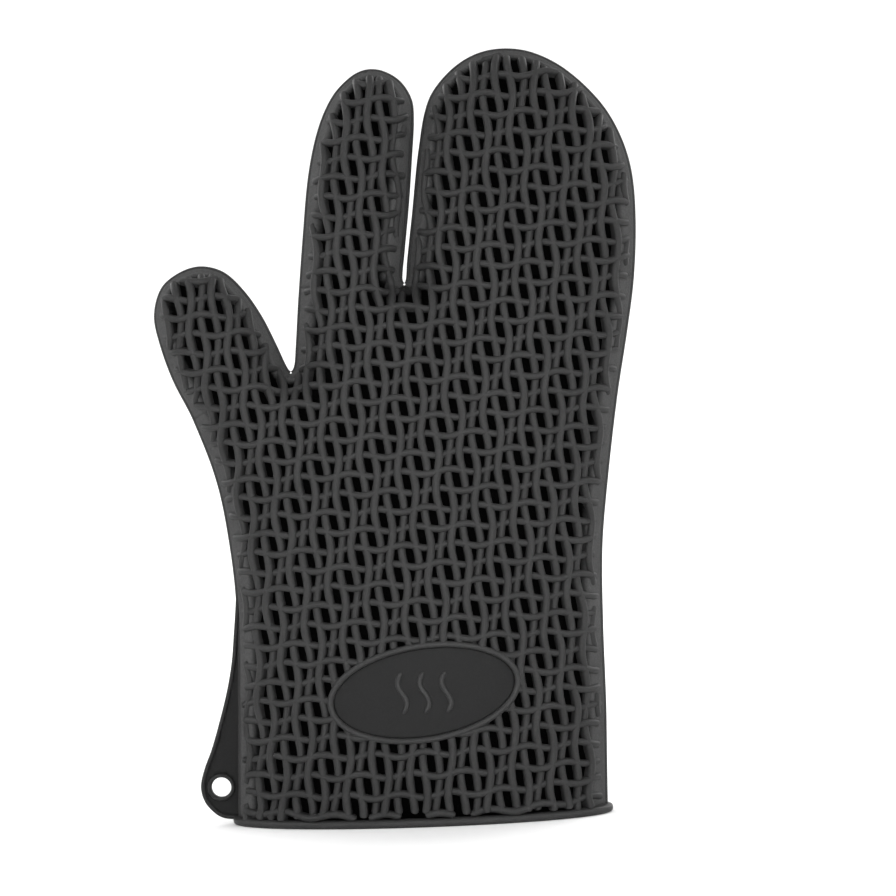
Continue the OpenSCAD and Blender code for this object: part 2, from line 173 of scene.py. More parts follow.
# The half width of the body at any place comes from the stress function of its outline: a bar of
# that section, when twisted, has a film-like bulge that is a parabola in a strip and smooth at forks.
CELL = 1.0
GRID_LOW = np.array([-97.0, 0.5])
GRID_SIZE = (288, 185)  # rows up, columns across
SOLVER_STEPS = 900
SOLVER_END = 1e-6
EDGE_SKIP = 5  # every so many points of the edge are enough to count crossings
SPREAD_ROUNDS = 6  # how many cells past the edge the maps are carried


def inside_edge(x, z):
    """Whether each point of a grid is inside the body's edge, by counting crossings."""
    edge = BODY_EDGE[::EDGE_SKIP]
    a, b = edge, np.roll(edge, -1, axis=0)
    found = np.zeros(x.shape, bool)
    for (ax, az), (bx, bz) in zip(a, b):
        if az == bz:
            continue
        rows = (z[:, 0] > min(az, bz)) & (z[:, 0] <= max(az, bz))
        if rows.any():
            crossing = ax + (z[rows] - az) * (bx - ax) / (bz - az)
            found[rows] ^= x[rows] < crossing
    return found


def film():
    """The film's height over the body's outline, level across the cuff, and where it is."""
    rows, columns = np.mgrid[: GRID_SIZE[0], : GRID_SIZE[1]]
    x = GRID_LOW[0] + CELL * columns
    z = GRID_LOW[1] + CELL * rows
    inside = inside_edge(x, z)

    def pull(u):
        p = np.pad(u, 1)
        p[0] = p[1]
        around = p[:-2, 1:-1] + p[2:, 1:-1] + p[1:-1, :-2] + p[1:-1, 2:]
        return (4 * u - around) * inside

    u = np.zeros(x.shape)
    left = inside * CELL**2
    move = left.copy()
    size = (left * left).sum()
    for _ in range(SOLVER_STEPS):
        pulled = pull(move)
        share = size / (move * pulled).sum()
        u += share * move
        left = left - share * pulled
        new_size = (left * left).sum()
        if new_size < SOLVER_END:
            break
        move = left + new_size / size * move
        size = new_size
    return u, inside


def spread_out(values, known):
    """Values carried outwards from where they are known, one cell a round."""
    values = np.where(known, values, 0.0)
    known = known.astype(float)
    for _ in range(SPREAD_ROUNDS):
        total, weight = np.zeros_like(values), np.zeros_like(values)
        padded_v, padded_k = np.pad(values, 1), np.pad(known, 1)
        for row in (0, 1, 2):
            for column in (0, 1, 2):
                part = (slice(row, row + values.shape[0]), slice(column, column + values.shape[1]))
                total += padded_v[part] * padded_k[part]
                weight += padded_k[part]
        fill = (known == 0) & (weight > 0)
        values[fill] = total[fill] / weight[fill]
        known[fill] = 1
    return values


def half_width_maps(u, inside):
    """The local half width, and the depth in from the edge that the film gives."""
    up, across = np.gradient(u, CELL)
    up[0] = 0
    slope2 = up**2 + across**2
    half = np.sqrt(2 * u + slope2)
    padded = np.pad(inside, 1)
    known = inside & padded[:-2, 1:-1] & padded[2:, 1:-1] & padded[1:-1, :-2] & padded[1:-1, 2:]
    known[0] = inside[0]
    reach = half - np.sqrt(slope2)
    return spread_out(half, known), spread_out(reach, known)


FILM, INSIDE = film()
HALF_WIDTH, REACH = half_width_maps(FILM, INSIDE)
EDGE_TREE = KDTree(len(BODY_EDGE))
for number, (edge_x, edge_z) in enumerate(BODY_EDGE):
    EDGE_TREE.insert((edge_x, 0, edge_z), number)
EDGE_TREE.balance()


def sample(grid, points):
    """A map's values at points, by the four cells around each."""
    at = (points - GRID_LOW) / CELL
    column = np.clip(at[:, 0], 0, GRID_SIZE[1] - 1.001)
    row = np.clip(at[:, 1], 0, GRID_SIZE[0] - 1.001)
    c, r = column.astype(int), row.astype(int)
    fc, fr = column - c, row - r
    low = grid[r, c] * (1 - fc) + grid[r, c + 1] * fc
    high = grid[r + 1, c] * (1 - fc) + grid[r + 1, c + 1] * fc
    return low * (1 - fr) + high * fr


def from_edge(points):
    """Distance of each point from the body's edge, and the way outwards there."""
    found = [EDGE_TREE.find((x, 0, z)) for x, z in points]
    return np.array([hit[2] for hit in found]), EDGE_OUTWARDS[[hit[1] for hit in found]]


TIP_CLOSER = 2.2  # the smooth strip beside the edge narrows by this share of itself at a fingertip


def strip_gap(gap, outwards):
    """Distance from the edge as the relief counts it, where its side strip is full width."""
    return gap * (1 + TIP_CLOSER * np.clip(outwards[:, 1], 0, 1))


DIGIT_HALF = 18.5  # half width of a finger, and its half depth
DIGIT_DEEP = 15.0
DEEPER = 0.21  # how much deeper the body is for each millimetre of half width
PALM_DEEP = ((0, 26.0), (80, 25.3), (140, 23.4), (198, 21.5), (290, 21.0))  # most depth, by height
DEEP_BLEND = 12
ROUND = 2.15  # 2 for an ellipse, more for a squarer section
NEAR_EDGE = (2.0, 10.0)  # the exact distance from the edge counts up to here, the film beyond


def by_width_and_height(points):
    """Half depth of the woven face over the middle of the body that each point is on."""
    by_width = DIGIT_DEEP + DEEPER * (sample(HALF_WIDTH, points) - DIGIT_HALF)
    by_height = np.interp(points[:, 1], *zip(*PALM_DEEP))
    return (by_width**-DEEP_BLEND + by_height**-DEEP_BLEND) ** (-1 / DEEP_BLEND)


def depth(points, edge_gap=None):
    """Half depth of the woven face over each point of the drawing."""
    gap = from_edge(points)[0] if edge_gap is None else edge_gap
    half = sample(HALF_WIDTH, points)
    far = smooth((gap - NEAR_EDGE[0]) / (NEAR_EDGE[1] - NEAR_EDGE[0]))
    gap = gap + (sample(REACH, points) - gap) * far
    side = np.clip(1 - gap / half, 0, 1)
    return by_width_and_height(points) * (1 - side**ROUND) ** (1 / ROUND)


SLOPE_STEP = 0.4
BY_FORMULA = (0.8, 2.0)  # nearer the edge than this the slope comes from the section's formula
STEEPEST = 1e-5


def face_frame(points):
    """Half depth, outward normal of the front face, and the relief's distance from the edge."""
    gap, outwards = from_edge(points)
    deep = depth(points, gap)
    steps = np.eye(2) * SLOPE_STEP
    fall = [(depth(points - step) - depth(points + step)) / (2 * SLOPE_STEP) for step in steps]
    fall = np.stack(fall, axis=1)
    half = sample(HALF_WIDTH, points)
    side = np.clip(1 - gap / half, 0, 1 - STEEPEST)
    tallest = by_width_and_height(points)
    steep = tallest / half * side ** (ROUND - 1) * (1 - side**ROUND) ** (1 / ROUND - 1)
    near = 1 - smooth((gap - BY_FORMULA[0]) / (BY_FORMULA[1] - BY_FORMULA[0]))[:, None]
    fall = fall + (outwards * steep[:, None] - fall) * near
    normal = unit(np.stack([fall[:, 0], -np.ones(len(points)), fall[:, 1]], axis=1))
    return deep, normal, strip_gap(gap, outwards)


# How far the floor between the ribs lies under the woven face, by the relief's distance from the edge.
SHELF_AT = (0.2, 0.9)
SHELF_DROP = 1.2
FLOOR_AT = (3.8, 5.6)
FLOOR_DROP = 2.8
WALL = 2.2


def floor_drop(gap):
    shelf = SHELF_DROP * smooth((gap - SHELF_AT[0]) / (SHELF_AT[1] - SHELF_AT[0]))
    deep = smooth((gap - FLOOR_AT[0]) / (FLOOR_AT[1] - FLOOR_AT[0]))
    return shelf + (FLOOR_DROP - SHELF_DROP) * deep


# ---- Materials ----

def new_material(name):
    material = bpy.data.materials.new(name)
    material.use_nodes = True
    return material, material.node_tree.nodes, material.node_tree.links


CLOUD = (38, 5, 0.62)  # scale, detail and roughness of the broad clouding
SPECK = (1500, 2, 0.5)  # and of the fine grain
CLOUD_SPAN = (0.3, 0.7)  # the part of each noise's range that counts
SPECK_SPAN = (0.35, 0.65)
CLOUDING = 0.12  # how much either noise lightens and darkens the grey
ROUGHNESS_SWING = 0.06
GRAIN_DEEP = 0.05
HATCH_SCALE = 420
HATCH_WAVER = 0.6
HATCH_DEEP = 0.2


def noise(nodes, links, place, scale, detail, roughness):
    node = nodes.new("ShaderNodeTexNoise")
    node.inputs["Scale"].default_value = scale
    node.inputs["Detail"].default_value = detail
    node.inputs["Roughness"].default_value = roughness
    links.new(place, node.inputs["Vector"])
    return node.outputs["Fac"]


def ranged(nodes, links, value, span, low, high):
    """A value within a span, carried to the range from low to high."""
    node = nodes.new("ShaderNodeMapRange")
    for label, number in zip(("From Min", "From Max", "To Min", "To Max"), (*span, low, high)):
        node.inputs[label].default_value = number
    links.new(value, node.inputs["Value"])
    return node.outputs["Result"]


def bumped(nodes, links, height, strength, deep, under=None):
    """Bump of a depth in millimetres, on top of another normal if one is given."""
    node = nodes.new("ShaderNodeBump")
    node.inputs["Strength"].default_value = strength
    node.inputs["Distance"].default_value = deep * MM
    links.new(height, node.inputs["Height"])
    if under is not None:
        links.new(under, node.inputs["Normal"])
    return node.outputs["Normal"]


def silicone(name, shade, rough, grain=0.35, hatch=0.0, specular=0.15, painted_recess_shade=None):
    """Matt moulded silicone: a clouded grey, a fine grain, and where asked a fine hatch.

    Given a second grey, the colour darkens to it as the mesh's own "deep" value goes from 0 to 1: painted
    shade on the floor between the ribs."""
    material, nodes, links = new_material(name)
    shader = nodes["Principled BSDF"]
    shader.inputs["Specular IOR Level"].default_value = specular
    place = nodes.new("ShaderNodeTexCoord").outputs["Object"]
    clouds = noise(nodes, links, place, *CLOUD)
    speck = noise(nodes, links, place, *SPECK)

    both = nodes.new("ShaderNodeMath")
    both.operation = "MULTIPLY"
    for number, (value, span) in enumerate(((clouds, CLOUD_SPAN), (speck, SPECK_SPAN))):
        links.new(ranged(nodes, links, value, span, 1 - CLOUDING, 1 + CLOUDING), both.inputs[number])

    colour = nodes.new("ShaderNodeVectorMath")
    colour.operation = "SCALE"
    colour.inputs[0].default_value = (shade, shade, shade)
    # Painted shade: the mesh's deep value darkens the grey towards the floor between the ribs.
    if painted_recess_shade is not None:
        deep = nodes.new("ShaderNodeAttribute")
        deep.attribute_name = "deep"
        links.new(ranged(nodes, links, deep.outputs["Fac"], (0, 1), shade, painted_recess_shade), colour.inputs[0])
    links.new(both.outputs["Value"], colour.inputs["Scale"])
    links.new(colour.outputs["Vector"], shader.inputs["Base Color"])

    low, high = rough - ROUGHNESS_SWING, rough + ROUGHNESS_SWING
    links.new(ranged(nodes, links, clouds, CLOUD_SPAN, low, high), shader.inputs["Roughness"])

    normal = bumped(nodes, links, speck, grain, GRAIN_DEEP)
    if hatch:
        lines = nodes.new("ShaderNodeTexWave")
        lines.wave_type = "BANDS"
        lines.bands_direction = "DIAGONAL"
        lines.inputs["Scale"].default_value = HATCH_SCALE
        lines.inputs["Distortion"].default_value = HATCH_WAVER
        links.new(place, lines.inputs["Vector"])
        normal = bumped(nodes, links, lines.outputs["Fac"], hatch, HATCH_DEEP, normal)
    links.new(normal, shader.inputs["Normal"])
    return material


RIB_SHADE = 0.0205
# The skin's grey by the edge, well lighter than the ribs' grey: the silicone's own grey with a painted
# highlight for the side strips lit from the sides.
RIM_GREY_WITH_PAINTED_HIGHLIGHT = 0.052
# The grey that the floor between the ribs darkens to: painted shade in the deep recesses.
FLOOR_PAINTED_SHADE = 0.0005
MATERIALS = {
    "rib": silicone("silicone_ribs", RIB_SHADE, 0.55),
    # The skin: a painted highlight on the strip by the edge, darkening to painted shade on the floor between
    # the ribs by the mesh's deep value.
    "floor": silicone(
        "silicone_floor", RIM_GREY_WITH_PAINTED_HIGHLIGHT, 0.7, hatch=0.25, specular=0.01, painted_recess_shade=FLOOR_PAINTED_SHADE),
    "trim": silicone("silicone_trim", RIB_SHADE * 1.1, 0.5, grain=0.25),
    "badge": silicone("silicone_badge", RIB_SHADE * 1.1, 0.52, grain=0.3),
    "plate": silicone("silicone_plate", RIB_SHADE * 0.5, 0.6, grain=0.3, specular=0.1),
    # The hang tab's web, border and ring are darker than the ribs: painted shade, for the tab lying in the
    # body's shadow.
    "tab": silicone("silicone_tab", RIB_SHADE * 0.5, 0.6, grain=0.3, specular=0.08),
    "tab_trim": silicone("silicone_tab_trim", RIB_SHADE * 0.7, 0.55, grain=0.25),
}


# ---- Mesh building ----

def make_piece(name, points, faces, material, normals=None):
    """A mesh piece from points in the drawing, with its own normals if they are given."""
    placed = (np.asarray(points, float) + [CENTRE_X, 0, 0]) * MM
    mesh = bpy.data.meshes.new(name)
    mesh.from_pydata(placed.tolist(), [], faces)
    piece = bpy.data.objects.new(name, mesh)
    scene.collection.objects.link(piece)
    mesh.materials.append(MATERIALS[material])
    mesh.shade_smooth()
    if normals is not None:
        mesh.normals_split_custom_set_from_vertices(np.asarray(normals).tolist())
    mesh.update()
    return piece


def joined(parts):
    """Points, faces and normals of several parts as one."""
    points, faces, normals, count = [], [], [], 0
    for part_points, part_faces, part_normals in parts:
        points.append(part_points)
        normals.append(part_normals)
        faces += [tuple(i + count for i in face) for face in part_faces]
        count += len(part_points)
    return np.vstack(points), faces, np.vstack(normals)


def tube_faces(rings, around, closed):
    """Faces of a tube of rings, with flat ends unless it closes on itself."""
    steps = rings if closed else rings - 1
    faces = []
    for i in range(steps):
        a, b = i * around, (i + 1) % rings * around
        faces += [(a + k, a + (k + 1) % around, b + (k + 1) % around, b + k) for k in range(around)]
    if not closed:
        faces.append(tuple(range(around - 1, -1, -1)))
        faces.append(tuple((rings - 1) * around + k for k in range(around)))
    return faces


def sweep(centres, rights, ups, sections, closed=False):
    """A tube along centres. sections holds (right, up) places of the points around each ring."""
    centres, rights, ups = (np.asarray(v, float) for v in (centres, rights, ups))
    sections = np.broadcast_to(sections, (len(centres),) + np.shape(sections)[-2:])
    points = (
        centres[:, None]
        + sections[..., :1] * rights[:, None]
        + sections[..., 1:] * ups[:, None]
    )
    return points.reshape(-1, 3), tube_faces(len(centres), sections.shape[1], closed)


# ---- Woven ribs ----

PITCH = np.array([4.68, 6.87])  # between upright ribs, and between level ribs
WEAVE_AT = np.array([9.55, 142.0])
WEAVE_TURN = math.radians(0.75)
WAIST = np.array([5, 130])  # the weave is finest here, and stretched towards the cuff and the fingertips
WIDEN = 0.014  # share of its width that it gains 100 mm above or below the waist
LIFT = 0.75  # how far it moves up or down there
CUFF_REACH = 40  # below this height the weave moves sideways and bows down, as the cuff does
CUFF_SHIFT = -1.2
CUFF_BOW = (2.8, 4.5, 50)  # how far down at its middle, where that is, and half the width it spans
WAVE_ACROSS = 0.92  # sideways wave of an upright rib
WAVE_UP = 0.82  # up and down wave of a level rib
OVER_UNDER = 0.7  # rise and fall of a rib as it passes over and under
UPRIGHT_RADIUS = 1.5
LEVEL_RADIUS = 1.3
RIB_STEP = 1.1
RIB_TAPER = 1.2  # length over which a rib's end rounds down
LEAST_END = 0.15  # share of its size that a rib keeps at its very end
END_RINGS = (0.1, 0.4)  # extra rings near a rib's end, as shares of a step, so that the end is round
SINK = 0.3  # how far a rib's foot goes into the floor
UPRIGHT_GAP = 1.5  # nearest that an upright rib comes to the edge
LEVEL_GAP = (0.35, 1.2)  # the same for a level rib, and how much more it is at a fingertip
LOWEST_RIB = (2.8, 1.6)  # lowest height of a level rib and of an upright one
OVER_BEAD = (2.2, 9)  # how far the ribs rise to lie over the cuff's bead, and from what height down
CALM_AT = (1.0, 5.0)  # over and under grows with distance from the edge
HALF_ROUND = np.radians(np.linspace(180, 0, 7))  # angles over a rounded top, from left to right
LEAST_RUN = 3  # fewest steps in a stretch of rib
WEAVE_ROWS = range(-22, 22)  # the level ribs and the upright ones, counted from WEAVE_AT
WEAVE_COLUMNS = range(-24, 18)
ROW_SPAN = (-115, 85)  # where a level rib starts and ends, before the body's edge cuts it
COLUMN_SPAN = (-150, 150)
CROTCH_SLACK = 0.01
BADGE_HOLE = 1.3  # how far the ribs reach under the badge's bezel

badge_low, badge_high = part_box("badge_bezel")
BADGE_AT = np.array([badge_low.x + badge_high.x, badge_low.z + badge_high.z]) / 2 / MM - [CENTRE_X, 0]
BADGE_TURN = math.radians(7)
BADGE_AXES = np.array([
    [math.cos(BADGE_TURN), math.sin(BADGE_TURN)],
    [-math.sin(BADGE_TURN), math.cos(BADGE_TURN)]])


def badge_half():
    """Half the length and half the height of the badge's turned oval, from the box round it."""
    wide, high = ((badge_high.x - badge_low.x) / 2 / MM) ** 2, ((badge_high.z - badge_low.z) / 2 / MM) ** 2
    c, s = math.cos(BADGE_TURN) ** 2, math.sin(BADGE_TURN) ** 2
    return np.sqrt(np.array([wide * c - high * s, high * c - wide * s]) / (c - s))


BADGE_HALF = badge_half()


def onto_face(even):
    """Places on the woven face for points of the even weave, which is drawn as the camera sees it."""
    above = (even[:, 1] - WAIST[1]) / 100
    low = smooth(1 - even[:, 1] / CUFF_REACH)
    bow = CUFF_BOW[0] * (1 - ((even[:, 0] - CUFF_BOW[1]) / CUFF_BOW[2]) ** 2)
    across = (even[:, 0] - WAIST[0]) * WIDEN * above**2 + CUFF_SHIFT * low
    seen = even + np.stack([across, LIFT * above**3 - bow * low], axis=1)
    points = seen.copy()
    for _ in range(3):
        inside = is_inside(points)
        nearer = depth(points[inside]) / CAMERA_BACK
        points[inside] = seen[inside] + (CAMERA_OVER - seen[inside]) * nearer[:, None]
    return points


def rib_lines():
    """Each rib's line over the whole drawing: points, rise, and whether it is upright."""
    turn = np.array([
        [math.cos(WEAVE_TURN), math.sin(WEAVE_TURN)],
        [-math.sin(WEAVE_TURN), math.cos(WEAVE_TURN)]])
    lines = []
    along_u = np.arange(*ROW_SPAN, RIB_STEP)
    for row in WEAVE_ROWS:
        s = along_u / PITCH[0] + 3 * row
        across = row * PITCH[1] - WAVE_UP * np.sin(math.pi * s / 2)
        local = np.stack([along_u, across], axis=1)
        lines.append((onto_face(local @ turn + WEAVE_AT), OVER_UNDER * np.sin(math.pi * s / 4), False))
    along_v = np.arange(*COLUMN_SPAN, RIB_STEP)
    for column in WEAVE_COLUMNS:
        t = along_v / PITCH[1] + 3 * column
        across = column * PITCH[0] - WAVE_ACROSS * np.sin(math.pi * t / 2)
        local = np.stack([across, along_v], axis=1)
        lines.append((onto_face(local @ turn + WEAVE_AT), -OVER_UNDER * np.sin(math.pi * t / 4), True))
    return lines


def is_inside(points):
    """Whether each point is inside the body's edge, from the nearest cell of the film's map."""
    at = np.rint((points - GRID_LOW) / CELL).astype(int)
    good = (at >= 0).all(axis=1) & (at[:, 0] < GRID_SIZE[1]) & (at[:, 1] < GRID_SIZE[0])
    found = np.zeros(len(points), bool)
    found[good] = INSIDE[at[good, 1], at[good, 0]]
    return found


def region(points):
    """Which body each point belongs to: 0 palm, 1 thumb, 2 index, 3 mitten.

    Index and mitten are told apart by the foot of the slit alone. The slit leans, so ribs along the
    index's side of it count as the mitten's and move with it. That is a known fault."""
    root = CROTCH - THUMB_OUT
    beyond = (points - THUMB_OUT) @ np.array([-root[1], root[0]]) > 0
    left_of_hand = points[:, 0] < CROTCH[0] + CROTCH_SLACK
    names = np.zeros(len(points), int)
    names[beyond & left_of_hand] = 1
    names[(points[:, 1] > ROOT_Z) & (points[:, 0] < SLIT_FOOT[0]) & ~left_of_hand] = 2
    names[(points[:, 1] > ROOT_Z) & (points[:, 0] >= SLIT_FOOT[0])] = 3
    return names


def finer_ends(first, last):
    """Places along a rib from first to last, closer together at both ends."""
    near = [first + share for share in END_RINGS]
    far = [last - share for share in reversed(END_RINGS)]
    return np.concatenate([[first], near, np.arange(first + 1, last), far, [last]])


def rib_runs(with_badge):
    """Stretches of rib that lie on the face, as (points, rise, upright)."""
    runs = []
    for points, rise, upright in rib_lines():
        keep = is_inside(points) & (points[:, 1] > LOWEST_RIB[upright])
        near = np.flatnonzero(keep)
        gap, outwards = from_edge(points[near])
        if upright:
            keep[near] = strip_gap(gap, outwards) > UPRIGHT_GAP
        else:
            keep[near] = gap > LEVEL_GAP[0] + LEVEL_GAP[1] * np.clip(outwards[:, 1], 0, 1)
        if with_badge:
            off = (points - BADGE_AT) @ BADGE_AXES.T / (BADGE_HALF - BADGE_HOLE)
            keep &= (off**2).sum(axis=1) > 1
        edges = np.flatnonzero(np.diff(np.concatenate([[0], keep, [0]])))
        for first, end in zip(edges[::2], edges[1::2]):
            if end - first >= LEAST_RUN:
                at = finer_ends(first, end - 1)
                steps = np.arange(len(points))
                line = np.stack([np.interp(at, steps, points[:, k]) for k in (0, 1)], axis=1)
                runs.append((line, np.interp(at, steps, rise), upright))
    return runs


def rib_parts(with_badge):
    """The ribs of the front face, as parts for each region."""
    runs = rib_runs(with_badge)
    all_points = np.vstack([run[0] for run in runs])
    deep, normal, gap = face_frame(all_points)
    calm = smooth((gap - CALM_AT[0]) / (CALM_AT[1] - CALM_AT[0]))
    rise = np.concatenate([run[1] for run in runs]) * calm
    rise += OVER_BEAD[0] * smooth(1 - all_points[:, 1] / OVER_BEAD[1])
    centre = np.stack([all_points[:, 0], -deep, all_points[:, 1]], axis=1) + normal * rise[:, None]
    drop = floor_drop(gap) + SINK
    where = region(all_points)
    parts = {0: [], 1: [], 2: [], 3: []}
    first = 0
    for points, _, upright in runs:
        here = slice(first, first + len(points))
        first += len(points)
        line, up = centre[here], normal[here]
        ahead = unit(np.gradient(line, axis=0))
        right = unit(np.cross(ahead, up))
        travelled = np.concatenate([[0], np.cumsum(np.linalg.norm(np.diff(line, axis=0), axis=1))])
        to_end = np.minimum(travelled, travelled[-1] - travelled)
        fade = np.clip(to_end / RIB_TAPER, 0, 1)
        size = LEAST_END + (1 - LEAST_END) * np.sqrt(1 - (1 - fade) ** 2)
        full = UPRIGHT_RADIUS if upright else LEVEL_RADIUS
        radius = (full * size)[:, None]
        foot = -(rise[here] + drop[here])[:, None]
        crown = foot * (1 - size[:, None]) - radius
        across = np.hstack([-radius, radius * np.cos(HALF_ROUND), radius])
        height = np.hstack([foot, np.maximum(crown + radius * np.sin(HALF_ROUND), foot), foot])
        facing_right = np.concatenate([[-1], np.cos(HALF_ROUND), [1]])
        facing_up = np.concatenate([[0], np.sin(HALF_ROUND), [0]])
        points3 = line[:, None] + across[..., None] * right[:, None] + height[..., None] * up[:, None]
        normals3 = facing_right[:, None] * right[:, None] + facing_up[:, None] * up[:, None]
        around = len(facing_right)
        labels = where[here]
        cuts = [0] + [k for k in range(1, len(labels)) if labels[k] != labels[k - 1]] + [len(labels) - 1]
        for a, b in zip(cuts[:-1], cuts[1:]):
            if b > a:
                parts[labels[a]].append((
                    points3[a:b + 1].reshape(-1, 3),
                    tube_faces(b + 1 - a, around, False),
                    normals3[a:b + 1].reshape(-1, 3)))
    return parts


# ---- Skins ----

PALM_ROWS = 56
ROOT_COLUMNS = 28  # along the thumb's root line
SKIN_START = 3.5  # how far below the top of the CAD's bead the palm's skin starts
KNUCKLE_ROWS = 14
INDEX_COLUMNS = 28
MITTEN_COLUMNS = 46
DIGIT_ROWS = {"thumb": 40, "index": 44, "mitten": 50}


def cosine_steps(n):
    """Fractions from 0 to 1 in n steps, shorter towards both ends."""
    return (1 - np.cos(np.pi * np.arange(n + 1) / n)) / 2


def at_height(run, z):
    """A run's x at a height."""
    order = np.argsort(run[:, 1])
    return np.interp(z, run[order, 1], run[order, 0])


def palm_plan():
    """Rows of points over the palm, from the cuff to the roots of the fingers."""
    columns = INDEX_COLUMNS + MITTEN_COLUMNS
    single = cosine_steps(columns)
    left_root, right_root = BODY["knuckle"][-1], BODY["gauntlet_right"][0]
    split = (SLIT_FOOT[0] - left_root[0]) / (right_root[0] - left_root[0])
    double = np.concatenate([
        split * cosine_steps(INDEX_COLUMNS), split + (1 - split) * cosine_steps(MITTEN_COLUMNS)[1:]])
    rows = []
    for z in np.linspace(CUFF_TOP - SKIN_START, THUMB_OUT[1], PALM_ROWS)[:-1]:
        rows.append(((at_height(BODY["gauntlet_left"], z), z), (at_height(BODY["gauntlet_right"], z), z)))
    for k, f in enumerate(cosine_steps(ROOT_COLUMNS)):
        z = THUMB_OUT[1] + (CROTCH[1] - THUMB_OUT[1]) * k / ROOT_COLUMNS
        rows.append((THUMB_OUT + (CROTCH - THUMB_OUT) * f, (at_height(BODY["gauntlet_right"], z), z)))
    for f in np.arange(1, KNUCKLE_ROWS + 1) / KNUCKLE_ROWS:
        left = along(BODY["knuckle"], f)
        z = CROTCH[1] + (right_root[1] - CROTCH[1]) * f
        rows.append((left, (at_height(BODY["gauntlet_right"], z), z)))
    plan = []
    for left, right in rows:
        left, right = np.array(left), np.array(right)
        two = smooth((right[1] - THUMB_OUT[1]) / (ROOT_Z - THUMB_OUT[1]))
        t = (single + (double - single) * two)[:, None]
        plan.append(left + (right - left) * t)
    top = plan[-1]
    top[:INDEX_COLUMNS + 1] = left_root + (SLIT_FOOT - left_root) * cosine_steps(INDEX_COLUMNS)[:, None]
    top[INDEX_COLUMNS:] = SLIT_FOOT + (right_root - SLIT_FOOT) * cosine_steps(MITTEN_COLUMNS)[:, None]
    return np.array(plan)


def digit_plan(outer, inner, rows, columns):
    """Rows of points over a digit, from its root to its tip, between two runs of the edge."""
    f = np.arange(rows + 1) / rows
    left, right = along(outer, f), along(inner, f)
    t = cosine_steps(columns)
    return left[:, None] + (right - left)[:, None] * t[None, :, None]


PLANS = {
    "palm": palm_plan(),
    "thumb": digit_plan(BODY["thumb_outer"], BODY["thumb_inner"][::-1], DIGIT_ROWS["thumb"], ROOT_COLUMNS),
    "index": digit_plan(BODY["index_outer"], BODY["index_inner"][::-1], DIGIT_ROWS["index"], INDEX_COLUMNS),
    "mitten": digit_plan(
        BODY["mitten_inner"], BODY["mitten_outer"][::-1], DIGIT_ROWS["mitten"], MITTEN_COLUMNS),
}


def on_edge(name, rows, columns):
    """Which points of a plan lie on the body's edge, where front and back meet."""
    edge = np.zeros((rows, columns), bool)
    edge[:, 0] = edge[:, -1] = True
    if name == "palm":
        root = slice(PALM_ROWS, PALM_ROWS - 1 + ROOT_COLUMNS)
        edge[root, 0] = False
        edge[-1, INDEX_COLUMNS] = True
    else:
        edge[-1] = True
    return edge


MIRRORED = np.array([1, -1, 1])  # from the front face to the back
LEAST_HOLLOW = 0.02  # share of the half depth that the inner surface keeps clear of the middle


def ring_rows(front, back):
    """Front and back grids as closed rings, front from left to right and back from right to left."""
    return np.concatenate([front, back[:, ::-1]], axis=1)


def shell_layers(name):
    """Rings of the outer and the inner surface of one body's skin, and how deep its floor is, which sets the
    floor's painted shade.
    """
    plan = PLANS[name]
    shape = plan.shape[:2]
    deep, normals, gap = face_frame(plan.reshape(-1, 2))
    deep, gap = deep.reshape(shape), gap.reshape(shape)
    edge = on_edge(name, *shape)
    deep[edge] = 0
    drop = floor_drop(gap)[..., None]
    layers = []
    for under in (drop, drop + WALL):
        front = np.stack([plan[..., 0], -deep, plan[..., 1]], axis=-1) - normals.reshape(*shape, 3) * under
        front[..., 1] = np.minimum(front[..., 1], -LEAST_HOLLOW * deep)
        front[edge, 1] = 0
        layers.append(ring_rows(front, front * MIRRORED))
    # How far into the deep floor each point is; it darkens the skin there with painted shade.
    floor = smooth((gap - FLOOR_AT[0]) / (FLOOR_AT[1] - FLOOR_AT[0]))
    return (*layers, ring_rows(floor, floor))


def skin_piece(name):
    """The closed skin of one body: an outer and an inner tube, joined at their open ends."""
    outer, inner, floor = shell_layers(name)
    rows, around = outer.shape[:2]
    half = around // 2
    points = np.concatenate([outer.reshape(-1, 3), inner.reshape(-1, 3)])
    shift = rows * around

    def strip(lower, upper, flip):
        """Quads between two lists of point numbers."""
        quads = [(lower[k], lower[k + 1], upper[k + 1], upper[k]) for k in range(len(lower) - 1)]
        return [q[::-1] for q in quads] if flip else quads

    faces = []
    number = np.arange(rows * around).reshape(rows, around)
    for i in range(rows - 1):
        for part in (slice(0, half), slice(half, around)):
            low, high = number[i, part].tolist(), number[i + 1, part].tolist()
            faces += strip(low, high, False)
            faces += strip([k + shift for k in low], [k + shift for k in high], True)
    bottom = number[0].tolist()
    faces += strip(bottom, [k + shift for k in bottom], True)
    if name == "palm":
        top = number[-1].tolist()
        faces += strip(top, [k + shift for k in top], False)
        root = range(PALM_ROWS - 1, PALM_ROWS + ROOT_COLUMNS)
        front = [number[i, 0] for i in root]
        back = [number[i, around - 1] for i in root]
        faces += strip(front, [int(k) + shift for k in front], True)[::-1]
        faces += strip(back, [int(k) + shift for k in back], False)
    piece = make_piece(name + "_skin", points, [tuple(int(k) for k in f) for f in faces], "floor")
    # The deep value sets the painted shade on the floor between the ribs.
    shade = piece.data.attributes.new("deep", "FLOAT", "POINT")
    shade.data.foreach_set("value", np.concatenate([floor.ravel(), floor.ravel()]).astype(np.float32))
    weld(piece)
    return piece


WELD_REACH = 0.002


def weld(piece):
    """Joins points that coincide and drops faces that have no area."""
    shape = bmesh.new()
    shape.from_mesh(piece.data)
    bmesh.ops.remove_doubles(shape, verts=shape.verts, dist=WELD_REACH * MM)
    bmesh.ops.recalc_face_normals(shape, faces=shape.faces)
    shape.to_mesh(piece.data)
    shape.free()
    piece.data.shade_smooth()


# ---- Parting line, cuff, badge and tab ----

